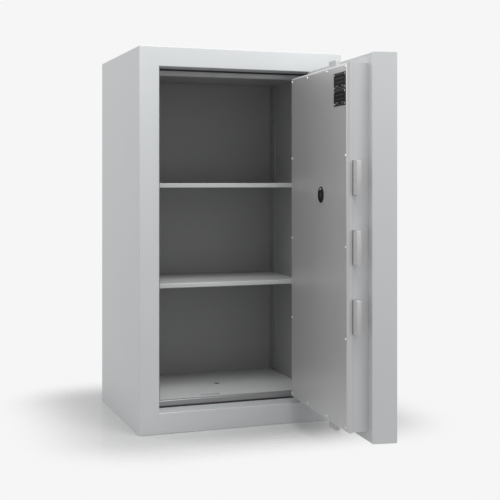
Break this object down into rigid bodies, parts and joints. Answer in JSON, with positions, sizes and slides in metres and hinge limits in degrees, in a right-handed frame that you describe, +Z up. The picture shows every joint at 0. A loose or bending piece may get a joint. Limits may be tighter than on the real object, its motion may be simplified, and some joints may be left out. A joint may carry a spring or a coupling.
{
  "type": "safe cabinet",
  "caption": "Free-standing fire and burglary safe cabinet with an open hinged door, sliding bolt work and folded shelves inside.",
  "frame": {"origin": "centre of the body's base, on the floor", "axes": "+Z up; the doorway faces -Y; +X to the right as seen from the front, the hinge side"},
  "size_m": [0.73, 1.2064, 1.285],
  "materials": {
    "cabinet_paint": "satin light grey enamel, smooth",
    "door_paint": "satin light grey enamel, smooth",
    "inner_paint": "satin mid grey enamel",
    "shelf_paint": "satin grey enamel",
    "infill": "cast concrete, hidden",
    "seal_strip": "matte dark intumescent strip",
    "slotted_steel": "dull zinc plate",
    "case_paint": "satin light grey enamel, finely grained",
    "stop_steel": "dark satin steel",
    "structural_steel": "plain rolled steel",
    "hard_steel": "dark hardened plate",
    "bright_steel": "ground bright steel",
    "screw_steel": "zinc plated",
    "lock_metal": "plain lock case",
    "brass": "turned brass",
    "handle_chrome": "polished chrome plate",
    "black_plate": "blank black label plate"
  },
  "bodies": {
    "cabinet": {"side_panel_left": "cabinet_paint", "side_panel_right": "cabinet_paint", "top_panel": "cabinet_paint", "base_panel": "cabinet_paint", "rear_panel": "cabinet_paint", "front_frame": "cabinet_paint", "barrier_infill": "infill", "inner_liner": "inner_paint", "floor_plate": "inner_paint", "door_stop_frame": "stop_steel", "fire_seal": "seal_strip", "anchor_sleeve": "structural_steel", "shelf_upper": "shelf_paint", "shelf_lower": "shelf_paint", "shelf_rails_left": "slotted_steel", "shelf_rails_right": "slotted_steel", "shelf_clips": "slotted_steel", "hinge_leaf_frame_upper": "cabinet_paint", "hinge_leaf_frame_lower": "cabinet_paint", "hinge_pins": "bright_steel", "hinge_washers": "brass"},
    "door": {"door_casing": "door_paint", "door_infill": "infill", "door_inner_plate": "case_paint", "lock_case": "case_paint", "back_cover": "case_paint", "cover_screws": "screw_steel", "plate_upper": "black_plate", "plate_lower": "black_plate", "plate_rivets": "bright_steel", "hinge_leaf_door_upper": "door_paint", "hinge_leaf_door_lower": "door_paint", "hinge_side_dogs": "structural_steel", "side_bolt_guides": "structural_steel", "end_bolt_guides": "structural_steel", "rod_guides": "structural_steel", "hard_plate": "hard_steel", "lock_body": "lock_metal", "key_sleeve": "brass", "spindle_sleeve": "bright_steel", "handle_rose": "handle_chrome", "keyhole_escutcheon": "handle_chrome", "keyhole_cover_pivot": "handle_chrome", "change_key_pivot": "bright_steel"},
    "side_bolts": {"side_bolt_upper": "bright_steel", "side_bolt_middle": "bright_steel", "side_bolt_lower": "bright_steel", "bolt_carrier": "structural_steel"},
    "top_bolt": {"top_bolt": "bright_steel", "top_rod": "structural_steel", "locking_lug": "structural_steel"},
    "bottom_bolt": {"bottom_bolt": "bright_steel", "bottom_rod": "structural_steel"},
    "handle": {"handle_lever": "handle_chrome", "handle_spindle": "bright_steel", "cam_disc": "structural_steel"},
    "lock_bolt": {"lock_bolt": "brass"},
    "keyhole_cover": {"keyhole_cover": "handle_chrome"},
    "change_key_cover": {"change_key_cover": "black_plate"}
  },
  "joints": [
    {"name": "door_swing", "type": "hinge", "parent": "cabinet", "child": "door", "pos_m": [0.317, -0.3065, 0.645], "axis": [0, 0, 1], "range_deg": [-85.4, 94.6]},
    {"name": "handle_turn", "type": "hinge", "parent": "door", "child": "handle", "pos_m": [0.28496, -0.70471, 0.6445], "axis": [-0.9968, 0.0802, 0], "range_deg": [0, 90]},
    {"name": "side_bolts_slide", "type": "slide", "parent": "door", "child": "side_bolts", "axis": [0.0802, 0.9968, 0], "range_m": [0, 0.0283]},
    {"name": "top_bolt_slide", "type": "slide", "parent": "door", "child": "top_bolt", "axis": [0, 0, -1], "range_m": [0, 0.0283]},
    {"name": "bottom_bolt_slide", "type": "slide", "parent": "door", "child": "bottom_bolt", "axis": [0, 0, 1], "range_m": [0, 0.0283]},
    {"name": "lock_bolt_throw", "type": "slide", "parent": "door", "child": "lock_bolt", "axis": [-0.0802, -0.9968, 0], "range_m": [0, 0.0105]},
    {"name": "keyhole_cover_swing", "type": "hinge", "parent": "door", "child": "keyhole_cover", "pos_m": [0.28136, -0.64975, 0.812], "axis": [-0.9968, 0.0802, 0], "range_deg": [-110, 110]},
    {"name": "change_key_cover_swing", "type": "hinge", "parent": "door", "child": "change_key_cover", "pos_m": [0.13184, -0.63772, 0.813], "axis": [-0.9968, 0.0802, 0], "range_deg": [-120, 120]}
  ],
  "couplings": [
    {"joint": "side_bolts_slide", "follows": "handle_turn", "m_per_rad": 0.018},
    {"joint": "top_bolt_slide", "follows": "handle_turn", "m_per_rad": 0.018},
    {"joint": "bottom_bolt_slide", "follows": "handle_turn", "m_per_rad": 0.018}
  ]
}
